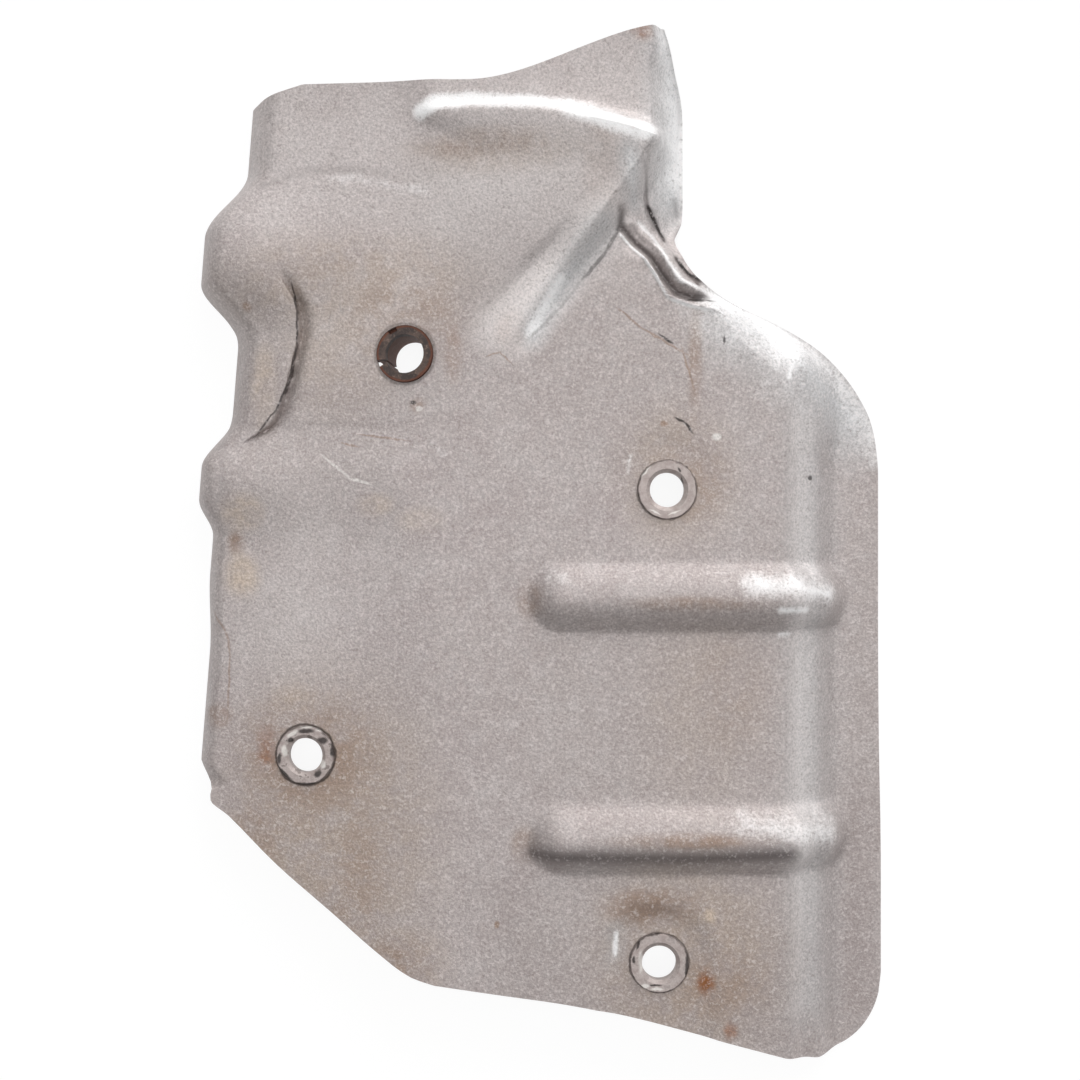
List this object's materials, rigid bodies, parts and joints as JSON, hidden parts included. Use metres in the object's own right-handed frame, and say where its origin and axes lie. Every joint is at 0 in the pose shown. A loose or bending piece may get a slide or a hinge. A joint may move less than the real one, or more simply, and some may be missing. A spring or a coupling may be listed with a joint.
{
  "type": "exhaust heat shield",
  "caption": "Pressed aluminium heat shield panel with stiffening beads, a stepped side flange, turned-down rims, three riveted screw eyelets and a split spacer bush.",
  "frame": {"origin": "under the middle of the panel's box, on the plane that its side flange and turned-down rims lie on", "axes": "+X to the right and +Y up the panel as the picture shows it, +Z out of the outer face"},
  "size_m": [0.1713, 0.2517, 0.0248],
  "materials": {
    "sheet": "matt, heat-stained pressed sheet",
    "eyelet": "plated steel, corroded in places",
    "bush": "dark, rusted"
  },
  "bodies": {
    "root": {"shield_panel": "sheet", "eyelet_right_upper": "eyelet", "eyelet_right_lower": "eyelet", "eyelet_left_lower": "eyelet", "split_bush": "bush"}
  },
  "joints": []
}
